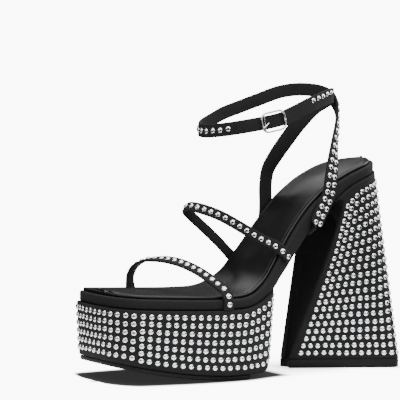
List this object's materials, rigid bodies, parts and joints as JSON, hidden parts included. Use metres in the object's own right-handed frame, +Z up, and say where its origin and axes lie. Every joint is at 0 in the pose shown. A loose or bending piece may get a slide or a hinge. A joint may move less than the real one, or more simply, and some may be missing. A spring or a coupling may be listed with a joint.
{
  "type": "platform sandal",
  "caption": "Left platform sandal with a thick platform, a flared block heel, narrow toe and instep straps, and crossed ankle straps with a buckle.",
  "frame": {"origin": "middle of the heel's top piece, on the floor", "axes": "+X to the toe, +Y to the outer side of the left foot, +Z up"},
  "size_m": [0.2333, 0.0874, 0.2037],
  "materials": {
    "suede": "napped, matt black",
    "leather": "smooth, soft sheen",
    "rubber": "matt black",
    "steel": "polished silver"
  },
  "bodies": {
    "root": {"outsole": "rubber", "platform": "suede", "footbed": "suede", "insole": "leather", "heel_block": "suede", "heel_top_piece": "rubber", "toe_strap": "suede", "instep_strap": "suede", "ankle_straps": "suede", "buckle_frame": "steel", "buckle_prong": "steel"}
  },
  "joints": []
}
